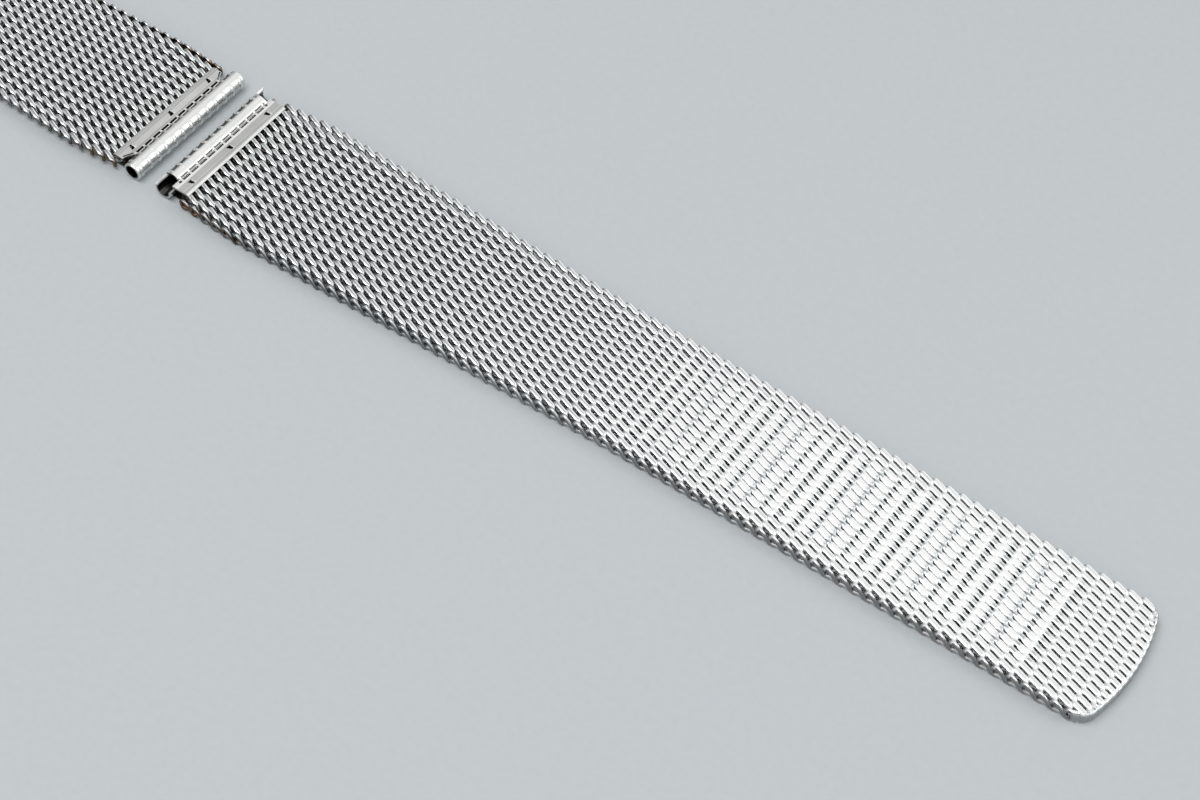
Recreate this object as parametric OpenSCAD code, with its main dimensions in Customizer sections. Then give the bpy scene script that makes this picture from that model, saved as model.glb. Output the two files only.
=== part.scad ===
// Flat steel mesh watch bracelet in two halves, laid out as on a bench.
// The long half ends in a rounded tip, the short half in a clasp with a locking lever.
// X runs along the bracelet to the rounded tip, Y across it and Z up from the bench.
// The origin is on the bench, at the middle of the laid-out length.

/* [Watch end] */
// Gap between the watch's lugs, which sets the tube's length
lug_width = 18; // [17:0.5:19]
// Radius of the rolled tube between its ribs
tube_r = 1.1; // [1.05:0.01:1.2]
// How far the ribs stand proud of the tube
rib_h = 0.08; // [0.05:0.01:0.12]
// Number of ribs round the long half's tube
ribs = 11; // [3:2:11]
// Distance from one rib to the next
rib_pitch = 1.36; // [1:0.01:1.4]
// Thickness of the folded sheet
sheet = 0.3; // [0.25:0.01:0.35]
// Distance from the tube's axis to the flange's mesh-side edge
flange_reach = 3.1; // [3:0.1:3.4]
// Where the flanges end, measured from the middle
flange_end = 8.1; // [7.8:0.1:8.4]
// Length cut from the top of the long half's tube at its near end
notch_near = 1.7; // [1:0.1:1.8]
// Length cut from the top of the long half's tube at its far end
notch_far = 1.3; // [1:0.1:1.6]

/* [Mesh] */
// Thickness of the flattened mesh
mesh_t = 1.6; // [1.5:0.05:1.7]
// Distance from one row of spirals to the next
row_pitch = 1.56; // [1.5:0.01:1.7]
// Turns of wire across the mesh
columns = 17; // [13:1:18]
// Width of the mesh where it leaves the flange
width_flange = 18; // [17.5:0.1:18.5]
// Greatest width, just past the flange
width_wide = 18.9; // [18.5:0.1:19.5]
// Width of the long half from its middle
width_middle = 15.9; // [15:0.1:16.2]
// Width at the rounded tip
width_tip = 15.4; // [15:0.1:16]
// Width of the short half where it enters the clasp
width_clasp = 16.4; // [16:0.1:17]
// Side gap between interlocked wires
wire_gap = 0.08; // [0.06:0.01:0.12]
// Slant of the wires, in degrees off the bracelet's length
slant = 28; // [20:1:30]

/* [Clasp] */
// Width of the tunnel that the long half slides through
tunnel_w = 16.9; // [16.7:0.1:17.5]
// Height of the tunnel from its floor to the hinge pin
tunnel_h = 2.1; // [2:0.05:2.4]
// Thickness of the clasp's side walls
wall = 0.5; // [0.4:0.05:0.6]
// Length of the clasp's side walls
clasp_len = 15; // [14:0.5:18]
// Thickness of the lever's plate
lever_t = 0.45; // [0.4:0.05:0.5]
// Radius of the hinge pin
hinge_r = 0.45; // [0.4:0.01:0.5]

/* [Layout] */
// Distance between the two tubes as the halves lie
tube_gap = 4.45; // [4:0.05:40]

/* [Hidden] */
rows_per_link = 5;
long_links = 14;
short_links = 6;
two_digits = function(i) i < 10 ? str("0", i) : str(i);

// Finishes
steel_bright = [0.80, 0.80, 0.78];
steel_grey = [0.66, 0.67, 0.67];

// Small gap between faces that seat on each other
seat = 0.02;
// A cut reaches this far past the solid
over = 0.1;

// Mesh
mesh_mid = mesh_t / 2;
link_len = rows_per_link * row_pitch;
knuckle_back = mesh_mid + 0.07;
knuckle_facets = 4;
ridge_flat = 0.42;
valley_depth = 0.2;
edge_loop = 0.22;
eye_len = 1;
eye_w = 0.56;
eye_lag = 0.68;
edge_in = 0.5;
first_ridge = 4.3;
first_edge = first_ridge - flange_reach - seat;
tongue_start = 1.6;
tongue_inset = 0.6;
tongue_low = sheet + seat;
tongue_high = mesh_t - 0.1 - seat;

// Rounded tip of the long half
tip_sagitta = 1.36;
tip_corner_r = 1.4;
tip_reach = first_ridge + long_links * link_len + 0.1;
tip_r = (pow(width_tip / 2, 2) + pow(tip_sagitta, 2)) / (2 * tip_sagitta);

// Bands on the long half that the lever's tooth locks into
ladder_start = 60.94;
ladder_pitch = 1.87;
ladder_end = 104;
ladder_depth = 0.3;
ladder_slot = 0.55;
ladder_margin = 2;

// Tube
tube_len = lug_width - 0.4;
rib_r = tube_r + rib_h;
axis_z = rib_r;
bore_r = tube_r - sheet - 0.02;
rib_w = 0.4;
flange_top = mesh_t - 0.1 + sheet;
groove_w = 0.28;
groove_u = tube_r - 0.1;
stake_u = tube_r + 0.75;
stake_pitch = 6.3;
slit_u = tube_r + 0.02;
slit_w = 0.55;
slit_len = 1.7;
lip_t = 0.2;
lip_top = 0.78;
lip_low = 0.35;
lip_reach_y = lug_width / 2 - 0.05;

// Clasp, measured from the short half's tube
short_end = first_ridge + short_links * link_len - row_pitch / 2 + seat;
crimp_len = 3.6;
fold_v = short_end + crimp_len;
floor_low = mesh_t - 0.1;
floor_top = floor_low + sheet;
wall_end = fold_v + clasp_len;
hinge_v = fold_v + 2.6;
hinge_z = floor_top + tunnel_h + hinge_r;
clasp_h = hinge_z + 0.75;
ear_r = 1.05;
lever_gap = 0.15;
lever_w = tunnel_w - 2 * lever_gap;
lever_low = clasp_h - lever_t;
knuckle_r = clasp_h - hinge_z;
lip_reach = 1.8;
lip_rise = 1.1;
tooth_reach = 1.15;

// Where the two halves lie
clasp_reach = wall_end + lip_reach;
whole_len = tip_reach + tube_gap + clasp_reach;
long_x = whole_len / 2 - tip_reach;
short_x = long_x - tube_gap;

function long_width(u) =
    lookup(u, [[flange_reach, width_flange], [9.3, width_wide], [58, width_middle], [tip_reach, width_tip]]);
function short_width(u) =
    lookup(u, [[flange_reach, width_flange], [9.3, width_wide], [short_end, width_clasp]]);
function width_at(half, u) = half == "long" ? long_width(u) : short_width(u);
function hinge_u(k) = first_ridge + k * link_len;

module long_half() {
    translate([long_x, 0, 0])
        children();
}

module short_half() {
    translate([short_x, 0, 0])
        mirror([1, 0, 0])
            children();
}

// Extrudes a profile drawn in length and height across the bracelet, centred on it
module across(width) {
    rotate([90, 0, 0])
        linear_extrude(height = width, center = true)
            children();
}

// A round bar along Y from one place to another
module bar_y(r, y0, y1) {
    translate([0, y0, 0])
        rotate([-90, 0, 0])
            cylinder(r = r, h = y1 - y0, $fn = 48);
}

// End piece: one sheet rolled into a tube, with two flanges that clamp the mesh

module end_piece_profile() {
    difference() {
        union() {
            translate([0, axis_z])
                circle(r = tube_r, $fn = 96);
            translate([0.3, 0])
                square([flange_reach - 0.3, sheet]);
            translate([tube_r - 0.3, flange_top - sheet])
                square([flange_reach - tube_r + 0.3, sheet]);
        }
        translate([0, axis_z])
            circle(r = bore_r, $fn = 96);
        translate([groove_u, flange_top - 0.18])
            square([groove_w, 0.4]);
    }
}

// A rib runs round the tube and bridges the groove beside it
module tube_rib(y) {
    translate([0, y, axis_z])
        rotate([90, 0, 0])
            difference() {
                cylinder(r = rib_r, h = rib_w, center = true, $fn = 96);
                cylinder(r = bore_r, h = rib_w + over, center = true, $fn = 96);
            }
    translate([tube_r - 0.2, y - rib_w / 2, flange_top - 0.2])
        cube([groove_w + 0.4, rib_w, 0.2 + rib_h / 2]);
}

// A tab lanced out of the flange and pressed down into the mesh
module stake_window() {
    translate([stake_u, 0, flange_top - sheet - over])
        linear_extrude(height = sheet + 2 * over)
            polygon([[0, -0.45], [0.75, 0], [0, 0.45]]);
}

module stake_tab() {
    translate([stake_u, 0, 0])
        across(0.4)
            polygon([
                [-0.1, flange_top - sheet],
                [0.02, flange_top - sheet],
                [0.3, flange_top - sheet - 0.2],
                [0.12, flange_top - sheet - 0.25],
                [-0.1, flange_top - sheet - 0.08]
            ]);
}

// The tube without its ends' notches, and both flanges
module end_piece(rib_count) {
    difference() {
        union() {
            across(tube_len)
                end_piece_profile();
            for (i = [0 : rib_count - 1])
                tube_rib((i - (rib_count - 1) / 2) * rib_pitch);
        }
        for (side = [-1, 1])
            translate([tube_r - 0.02, side * (flange_end + 1) - 1, -over])
                cube([flange_reach, 2, flange_top + 2 * over]);
        for (i = [-1 : 1])
            translate([0, i * stake_pitch, 0])
                stake_window();
    }
    for (i = [-1 : 1])
        translate([0, i * stake_pitch, 0])
            stake_tab();
}

// Cuts one end of the tube open from above, and leaves the outer wall as a thin lip
module tube_notch(side, length) {
    mirror([0, side < 0 ? 1 : 0, 0])
        translate([0, tube_len / 2 - length, axis_z]) {
            translate([-0.5, 0, 0.1])
                cube([0.5 + groove_u - 0.2, length + over, 2 * tube_r]);
            translate([-tube_r - rib_h - over, 0, 0])
                rotate([90, 0, 90])
                    linear_extrude(height = tube_r + rib_h + over - 0.5 + seat)
                        polygon([
                            [0, lip_top],
                            [length + over, lip_low],
                            [length + over, 2 * tube_r],
                            [0, 2 * tube_r]
                        ]);
        }
}

// The far lip reaches a little past the tube
module far_lip() {
    translate([-tube_r + 0.04, 0, axis_z])
        rotate([90, 0, 90])
            linear_extrude(height = lip_t)
                polygon([
                    [tube_len / 2 - notch_far, -lip_low],
                    [lip_reach_y, -lip_low],
                    [lip_reach_y, lip_low],
                    [tube_len / 2 - notch_far, lip_top - 0.1]
                ]);
}

module long_end_piece() {
    color(steel_bright)
        long_half() {
            difference() {
                end_piece(ribs);
                tube_notch(-1, notch_near);
                tube_notch(1, notch_far);
            }
            far_lip();
        }
}

// At both ends of the short half the flanges part from the tube along a narrow slit
module flange_slit() {
    translate([0, 0, -over])
        linear_extrude(height = flange_top + 2 * over)
            polygon([
                [slit_u, flange_end - slit_len],
                [slit_u + slit_w, flange_end + over],
                [slit_u, flange_end + over]
            ]);
}

module short_end_piece() {
    color(steel_bright)
        short_half()
            difference() {
                end_piece(ribs + 2);
                for (side = [0, 1])
                    mirror([0, side, 0])
                        flange_slit();
            }
}

// Mesh: each link is five rows of flattened spirals, hooked into the next link by the
// bends of its wires, which turn about one line across the bracelet

// Half circle of a knuckle about a hinge line at x, from angle a0
function knuckle(x, a0) =
    [for (i = [0 : knuckle_facets])
        let (a = a0 + 180 * i / knuckle_facets)
        [x + mesh_mid * cos(a), mesh_mid + mesh_mid * sin(a)]];

// The dip after row number i, deepest at x: on the top for side 1, below for side -1
function valley(i, x, side) =
    let (
        centre = (i + 0.5) * row_pitch,
        half = row_pitch / 2 - ridge_flat,
        z = mesh_mid * (1 + side)
    )
    [[centre + side * half, z], [x, z - side * valley_depth], [centre - side * half, z]];

function tongue_in(x) =
    [[x, mesh_t], [x, tongue_high], [tongue_start - first_ridge, tongue_high],
     [tongue_start - first_ridge, tongue_low], [x, tongue_low], [x, 0]];

function tongue_out(x, reach) =
    [[x, 0], [x, tongue_low], [reach, tongue_low], [reach, tongue_high], [x, tongue_high], [x, mesh_t]];

// Side profile of a link: first and last say what its two ends are
module link_profile(first, last) {
    inner = last == "knuckle" ? rows_per_link - 1 : rows_per_link - 2;
    deepest = function(i)
        i == 0 && first == "knuckle" ? knuckle_back
        : i == rows_per_link - 1 ? link_len - knuckle_back
        : (i + 0.5) * row_pitch;
    start = first == "tongue" ? tongue_in(-first_edge) : knuckle(0, 90);
    stop_x = link_len - row_pitch / 2 + seat;
    end = last == "tip" ? [[link_len + 1, 0], [link_len + 1, mesh_t]]
        : last == "tongue" ? tongue_out(stop_x, stop_x + crimp_len - sheet - 0.2)
        : knuckle(link_len, -90);
    polygon(concat(
        start,
        [for (i = [1 : rows_per_link - 2]) each valley(i, deepest(i), -1)],
        end,
        [for (i = [inner : -1 : 0]) each valley(i, deepest(i), 1)]
    ));
}

// Bends of the wires that hook into the next link, on one side of a hinge line
module wire_bends(x, pitch, side) {
    for (j = [0 : columns - 1])
        translate([x - side * mesh_mid, (j - (columns - 1) / 2 + side / 4) * pitch])
            square([2 * mesh_t + 0.4, pitch / 2 - wire_gap], center = true);
}

// The slanted, three-sided eyes that the wires of one row leave open
module row_eyes(x, width) {
    pitch = (width - edge_in) / columns;
    rise = tan(slant) * eye_len / 2;
    for (j = [0 : columns - 2])
        translate([x, (width - edge_in) / 2 - (j + eye_lag) * pitch])
            polygon([
                [-eye_len / 2, rise - eye_w / 2],
                [eye_len / 2, -rise],
                [-eye_len / 2, rise + eye_w / 2]
            ]);
}

// Outline of a link's body between two places, with a bend of wire at each row's edge
module body_outline(half, k, x0, x1) {
    u0 = hinge_u(k - 1);
    rows = [for (i = [0 : 2 * rows_per_link + 2]) (i - 1) * row_pitch / 2];
    inside = [for (x = rows) if (x > x0 + 0.05 && x < x1 - 0.05) x];
    stations = concat([x0], inside, [x1]);
    dip = function(x) abs(sin(180 * x / row_pitch)) * edge_loop;
    edge = function(x) width_at(half, u0 + x) / 2 - dip(x);
    polygon(concat(
        [for (x = stations) [x, -edge(x)]],
        [for (i = [len(stations) - 1 : -1 : 0]) [stations[i], edge(stations[i])]]
    ));
}

module link_plan(half, k, first, last) {
    u0 = hinge_u(k - 1);
    pitch = function(x) width_at(half, u0 + x) / columns;
    x0 = first == "tongue" ? -first_edge : knuckle_back;
    x1 = last == "knuckle" ? link_len - knuckle_back
        : last == "tip" ? link_len + 0.2
        : link_len - row_pitch / 2 + seat;
    first_row = first == "tongue" ? 0 : 1;
    difference() {
        union() {
            body_outline(half, k, x0, x1);
            if (first == "knuckle")
                intersection() {
                    wire_bends(0, pitch(0), 1);
                    translate([-mesh_t, -20])
                        square([mesh_t + knuckle_back + over, 40]);
                }
            if (last == "knuckle")
                intersection() {
                    wire_bends(link_len, pitch(link_len), -1);
                    translate([link_len - knuckle_back - over, -20])
                        square([mesh_t + knuckle_back + over, 40]);
                }
            if (first == "tongue")
                translate([tongue_start - first_ridge, -flange_end + tongue_inset])
                    square([flange_reach - tongue_start + seat + over, 2 * (flange_end - tongue_inset)]);
            if (last == "tongue")
                translate([x1 - over, -width_clasp / 2 + 0.3])
                    square([crimp_len - sheet - 0.2 + over, width_clasp - 0.6]);
        }
        for (i = [first_row : rows_per_link - 2])
            row_eyes((i + 0.5) * row_pitch, width_at(half, u0 + (i + 0.5) * row_pitch));
    }
}

// Shallow slots across the mesh, short of its edges and of the hinge lines, for the lever's tooth
module ladder_slots(k) {
    keep_off = knuckle_back + ladder_slot;
    for (u = [ladder_start : ladder_pitch : ladder_end]) {
        x = u - hinge_u(k - 1);
        length = long_width(u) * (1 - 2 * ladder_margin / columns);
        if (x > keep_off && x < link_len - keep_off)
            translate([x - ladder_slot / 2, -length / 2, mesh_t - ladder_depth])
                cube([ladder_slot, length, mesh_t]);
    }
}

module tip_outline() {
    x_mid = tip_reach - hinge_u(long_links - 1);
    x_side = x_mid - tip_sagitta;
    half = width_tip / 2;
    corner = tip_corner_r;
    translate([-mesh_t, -half - 1])
        square([x_side - corner + mesh_t, 2 * half + 2]);
    intersection() {
        translate([x_mid - tip_r, 0])
            circle(r = tip_r, $fn = 180);
        union() {
            translate([0, -half + corner])
                square([x_mid + 1, 2 * (half - corner)]);
            for (side = [-1, 1])
                translate([x_side - corner + 0.15, side * (half - corner)])
                    circle(r = corner, $fn = 32);
        }
    }
}

module mesh_link(half, k, first, last) {
    difference() {
        intersection() {
            linear_extrude(height = mesh_t)
                if (last == "tip")
                    intersection() {
                        link_plan(half, k, first, last);
                        tip_outline();
                    }
                else
                    link_plan(half, k, first, last);
            across(30)
                link_profile(first, last);
        }
        if (half == "long")
            ladder_slots(k);
    }
}

module long_mesh(k) {
    first = k == 1 ? "tongue" : "knuckle";
    last = k == long_links ? "tip" : "knuckle";
    color(k % 2 == 0 ? steel_grey : steel_bright)
        long_half()
            translate([hinge_u(k - 1), 0, 0])
                mesh_link("long", k, first, last);
}

module short_mesh(k) {
    first = k == 1 ? "tongue" : "knuckle";
    last = k == short_links ? "tongue" : "knuckle";
    color(k % 2 == 0 ? steel_grey : steel_bright)
        short_half()
            translate([hinge_u(k - 1), 0, 0])
                mesh_link("short", k, first, last);
}

// Clasp: a folded body crimped on the mesh, a lever and the pin that it turns on

module clasp_side(side) {
    translate([0, side * (tunnel_w + wall) / 2, 0])
        across(wall)
            difference() {
                union() {
                    translate([fold_v, 0])
                        square([clasp_len, lever_low - 0.1]);
                    translate([fold_v, 0])
                        square([hinge_v - fold_v, hinge_z]);
                    translate([hinge_v, hinge_z])
                        circle(r = ear_r, $fn = 48);
                    translate([wall_end - 3.4, 0])
                        square([3.4, clasp_h - 0.15]);
                }
                translate([hinge_v, hinge_z])
                    circle(r = hinge_r, $fn = 48);
                translate([wall_end, -over])
                    rotate(45)
                        square([1.2, 1.2], center = true);
            }
}

module clasp_body() {
    color(steel_bright)
        short_half() {
            translate([short_end + seat, -width_clasp / 2, 0])
                cube([crimp_len - seat, width_clasp, sheet]);
            translate([fold_v - sheet, -width_clasp / 2, 0])
                cube([sheet, width_clasp, floor_top]);
            translate([short_end + seat, -tunnel_w / 2 - wall, floor_low])
                cube([wall_end - short_end - seat, tunnel_w + 2 * wall, sheet]);
            for (side = [-1, 1])
                clasp_side(side);
            // Stops that the closed lever rests on
            for (side = [-1, 1])
                translate([wall_end - 2.6, side * (tunnel_w / 2 - 0.25) - 0.35, lever_low - seat - 0.3])
                    cube([1.6, 0.7, 0.3]);
        }
}

module clasp_hinge_pin() {
    color(steel_grey)
        short_half()
            translate([hinge_v, 0, hinge_z])
                bar_y(hinge_r, -tunnel_w / 2 - wall - 0.1, tunnel_w / 2 + wall + 0.1);
}

module clasp_lever() {
    color(steel_bright)
        short_half() {
            across(lever_w)
                difference() {
                    union() {
                        translate([hinge_v, hinge_z])
                            circle(r = knuckle_r, $fn = 64);
                        translate([hinge_v, lever_low])
                            square([wall_end - hinge_v, lever_t]);
                        translate([wall_end, lever_low])
                            polygon([
                                [0, 0],
                                [lip_reach * 0.55, lip_rise * 0.25],
                                [lip_reach, lip_rise],
                                [lip_reach - 0.3, lip_rise + 0.25],
                                [lip_reach * 0.45, lip_rise * 0.25 + lever_t * 0.95],
                                [0, lever_t]
                            ]);
                    }
                    translate([hinge_v, hinge_z])
                        circle(r = hinge_r + 0.05, $fn = 64);
                }
            across(lever_w * 0.7)
                translate([hinge_v, hinge_z])
                    polygon([[-0.4, -0.6], [0.4, -0.6], [0.25, -tooth_reach], [-0.25, -tooth_reach]]);
        }
}

long_end_piece();
for (i = [1 : long_links])
    long_mesh(i);
short_end_piece();
for (i = [1 : short_links])
    short_mesh(i);
clasp_body();
clasp_hinge_pin();
clasp_lever();
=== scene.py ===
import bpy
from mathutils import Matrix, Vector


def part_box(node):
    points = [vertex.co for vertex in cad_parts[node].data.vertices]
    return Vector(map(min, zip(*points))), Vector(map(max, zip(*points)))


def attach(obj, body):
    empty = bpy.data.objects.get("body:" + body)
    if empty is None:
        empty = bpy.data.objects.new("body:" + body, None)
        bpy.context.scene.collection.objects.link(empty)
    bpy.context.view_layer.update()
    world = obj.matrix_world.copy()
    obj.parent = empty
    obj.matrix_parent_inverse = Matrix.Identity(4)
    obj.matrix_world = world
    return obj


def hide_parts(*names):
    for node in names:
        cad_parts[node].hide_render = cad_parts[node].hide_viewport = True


bl_info = {
    "name": "Steel Mesh Watch Bracelet",
    "version": (1, 0, 0),
    "blender": (4, 5, 0),
    "location": "View3D > Sidebar > Bracelet",
    "description": "Builds the wires, sheet metal, finishes and stage of a steel mesh watch bracelet",
    "category": "Object",
}

import math
import random

import bmesh
import bpy
import numpy as np
from bpy.props import FloatProperty, FloatVectorProperty, PointerProperty
from mathutils import Matrix, Vector

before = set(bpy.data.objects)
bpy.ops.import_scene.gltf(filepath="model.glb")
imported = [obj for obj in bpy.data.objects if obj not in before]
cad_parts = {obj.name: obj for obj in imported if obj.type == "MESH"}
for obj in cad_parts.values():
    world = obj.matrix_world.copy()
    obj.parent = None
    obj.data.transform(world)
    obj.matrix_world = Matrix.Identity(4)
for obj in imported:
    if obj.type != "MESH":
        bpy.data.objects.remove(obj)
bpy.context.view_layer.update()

MM = 0.001

# Places along the bracelet in millimetres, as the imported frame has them. LONG_X and SHORT_X are the
# axes of the two rolled tubes, and U is the distance from a half's own tube.
RIB_R = 1.18
LONG_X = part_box("long_end_piece")[0].x / MM + RIB_R
SHORT_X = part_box("short_end_piece")[1].x / MM - RIB_R
TUBE_Z = RIB_R
LONG_LINKS = 14
SHORT_LINKS = 6
ROWS_PER_LINK = 5
ROW_PITCH = 1.56
LINK_LEN = ROWS_PER_LINK * ROW_PITCH
FIRST_HINGE_U = 4.3
TURNS = 17
MESH_T = 1.6
TIP_U = FIRST_HINGE_U + LONG_LINKS * LINK_LEN + 0.1
TIP_HALF = 7.7
TIP_SAGITTA = 1.36
TIP_CORNER = 1.4
TIP_R = (TIP_HALF**2 + TIP_SAGITTA**2) / (2 * TIP_SAGITTA)
FLANGE_U = 3.1

# Rolled end pieces. The tube's angles start towards the mesh and run over the top.
TUBE_R = 1.1
BORE_R = 0.78
TUBE_HALF = 8.8
RIBS = {"long": 11, "short": 13}
RIB_PITCH = 1.36
RIB_HALF = 0.13
BRIDGE_HALF = 0.14
SEAM_ANGLE = 8.0
LIP_ANGLE = 132.0
SHEET = 0.3
FLANGE_TOP = 1.8
FLANGE_HALF = 8.1
FLANGE_EDGE_U = 0.84
LOW_FLANGE_EDGE_U = 0.7
GROOVE_U = (0.97, 1.27)
PANEL_U = (1.5, 2.42)
SLIT_U = 1.72
STAKE_U = (1.74, 2.4)
STAKE_PITCH = 6.3
NOTCH_NEAR = 7.1
NOTCH_FAR = 7.5
LIP_FAR = 8.95

# Full widths of the mesh at distances from the tube
LONG_WIDTHS = ((FLANGE_U, 18.0), (9.3, 18.9), (58.0, 15.9), (TIP_U, 15.4))
SHORT_WIDTHS = ((FLANGE_U, 18.0), (9.3, 18.9), (50.34, 16.4))

# How deep tool marks are drawn in the finishes
MARK_DEPTH = 0.02 * MM

# Settings that many shader nodes share
ADD, SUBTRACT, MULTIPLY, DIVIDE, MAXIMUM = (
    {"operation": name} for name in ("ADD", "SUBTRACT", "MULTIPLY", "DIVIDE", "MAXIMUM")
)
CLAMPED_ADD = {"operation": "ADD", "use_clamp": True}
COLOURS = {"data_type": "RGBA"}


def linear(hex_colour):
    """An sRGB hex colour as the linear RGBA that Blender's shaders take."""
    parts = [int(hex_colour[i : i + 2], 16) / 255 for i in (1, 3, 5)]
    return [p / 12.92 if p <= 0.04045 else ((p + 0.055) / 1.055) ** 2.4 for p in parts] + [1.0]


def add_node(tree, kind, settings=None, out=0, **inputs):
    """Adds a node with its settings, fills or links its inputs by name or _number, and gives its output.

    A colour mix has its two colours at _6 and _7 and its output at 2.
    """
    made = tree.nodes.new(kind)
    for name, value in (settings or {}).items():
        setattr(made, name, value)
    for name, value in inputs.items():
        socket = made.inputs[int(name[1:]) if name[0] == "_" else name.replace("_", " ")]
        if isinstance(value, bpy.types.NodeSocket):
            tree.links.new(value, socket)
        else:
            socket.default_value = value
    return made.outputs[out]


def new_material(name):
    """An empty node material with its shader, and its coordinates in millimetres of the object at rest.

    Divided by three sizes, they give a noise of scale 1 grains of these sizes in millimetres.
    """
    made = bpy.data.materials.new(name)
    made.use_nodes = True
    tree = made.node_tree
    coords = add_node(tree, "ShaderNodeTexCoord", out="Object")
    scaled = add_node(tree, "ShaderNodeVectorMath", {"operation": "SCALE"}, _0=coords, Scale=1 / MM)
    return made, tree, tree.nodes["Principled BSDF"], scaled


def finish_metal(tree, shader, colour, marks, smooth, rough, strength):
    """Makes the surface metal of this colour, whose tool marks change its roughness and stand up a little."""
    tree.links.new(colour, shader.inputs["Base Color"])
    shader.inputs["Metallic"].default_value = 1.0
    roughness = add_node(
        tree, "ShaderNodeMapRange", Value=marks, From_Min=0.3, From_Max=0.7, To_Min=smooth, To_Max=rough
    )
    tree.links.new(roughness, shader.inputs["Roughness"])
    bump = add_node(tree, "ShaderNodeBump", Strength=strength, Distance=MARK_DEPTH, Height=marks)
    tree.links.new(bump, shader.inputs["Normal"])


def woven_stainless_wire(light, shade):
    """Drawn 316L stainless wire, woven and then ground flat on both faces.

    The grinding gives grey satin flats, with rims painted lighter as a painted highlight. Towards the tip
    they are painted lighter as a painted sheen, and in the pressed bands the clasp has rubbed them white.
    Painted shade darkens the sides that face inward, and skin grease browns the first rows beside each
    flange.
    """
    made, tree, shader, coords = new_material("woven_stainless_wire")
    polish_and_highlight = add_node(tree, "ShaderNodeAttribute", {"attribute_name": "polish_and_highlight"}, out="Fac")
    dirt_and_shade = add_node(tree, "ShaderNodeAttribute", {"attribute_name": "dirt_and_shade"}, out="Fac")
    place_x = add_node(tree, "ShaderNodeSeparateXYZ", out="X", Vector=coords)
    from_long = add_node(tree, "ShaderNodeMath", SUBTRACT, _0=place_x, _1=LONG_X)
    from_short = add_node(tree, "ShaderNodeMath", SUBTRACT, _0=SHORT_X, _1=place_x)
    from_tube = add_node(tree, "ShaderNodeMath", MAXIMUM, _0=from_long, _1=from_short)

    # a painted sheen lightens the wire from 30 to 90 mm from the long half's tube, with patches of tone a
    # millimetre or two across
    sheen_to_tip = add_node(tree, "ShaderNodeMapRange", Value=from_long, From_Min=30.0, From_Max=90.0)
    patches = add_node(tree, "ShaderNodeVectorMath", DIVIDE, _0=coords, _1=(1.6, 1.1, 3.0))
    patches = add_node(tree, "ShaderNodeTexNoise", Vector=patches, Scale=1.0, Detail=3.0)
    patches = add_node(
        tree, "ShaderNodeMapRange", Value=patches, From_Min=0.3, From_Max=0.7, To_Min=-0.25, To_Max=0.25
    )
    mottled = add_node(tree, "ShaderNodeMath", ADD, _0=sheen_to_tip, _1=patches)
    # polish is negative between the pressed bands, where the wires have stayed dull; on the rims it is a
    # painted highlight
    bright = add_node(tree, "ShaderNodeMath", CLAMPED_ADD, _0=mottled, _1=polish_and_highlight)
    tone = add_node(tree, "ShaderNodeMix", COLOURS, 2, _0=bright, _6=[*shade, 1.0], _7=[*light, 1.0])
    tone = add_node(tree, "ShaderNodeMix", COLOURS, 2, _0=polish_and_highlight, _6=tone, _7=linear("#F4F5F4"))

    # the brown ends 14 mm from either tube, and comes in spots a little under a millimetre across
    beside_tube = add_node(
        tree, "ShaderNodeMapRange", Value=from_tube, From_Min=3.0, From_Max=14.0, To_Min=1.0, To_Max=0.0
    )
    spots = add_node(tree, "ShaderNodeVectorMath", DIVIDE, _0=coords, _1=(0.9, 0.9, 0.9))
    spots = add_node(tree, "ShaderNodeTexNoise", Vector=spots, Scale=1.0, Detail=2.0)
    spots = add_node(tree, "ShaderNodeMapRange", Value=spots, From_Min=0.36, From_Max=0.52)
    brown = add_node(tree, "ShaderNodeMath", MULTIPLY, _0=beside_tube, _1=spots)
    # the darkening is a dark grey of painted shade, which turns brown in the spots of real stain
    darkening = add_node(tree, "ShaderNodeMix", COLOURS, 2, _0=brown, _6=linear("#3A3836"), _7=linear("#6A5540"))
    # the painted shade and the stain fade from 22 to 66 mm from the tubes, and are stronger in the brown
    # spots
    darkening_strength = add_node(
        tree, "ShaderNodeMapRange", Value=from_tube, From_Min=22.0, From_Max=66.0, To_Min=0.38, To_Max=0.07
    )
    darkening_strength = add_node(tree, "ShaderNodeMath", {"operation": "MULTIPLY_ADD"}, _0=brown, _1=0.42, _2=darkening_strength)
    darkened = add_node(tree, "ShaderNodeMath", MULTIPLY, _0=dirt_and_shade, _1=darkening_strength)
    colour = add_node(tree, "ShaderNodeMix", COLOURS, 2, _0=darkened, _6=tone, _7=darkening)

    # grinding marks run along the bracelet, about 0.05 mm wide, drawn at 0.12 mm so that they show
    marks = add_node(tree, "ShaderNodeVectorMath", DIVIDE, _0=coords, _1=(1.2, 0.12, 0.5))
    marks = add_node(tree, "ShaderNodeTexNoise", Vector=marks, Scale=1.0, Detail=3.0)
    finish_metal(tree, shader, colour, marks, 0.24, 0.4, 0.25)
    return made


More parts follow.
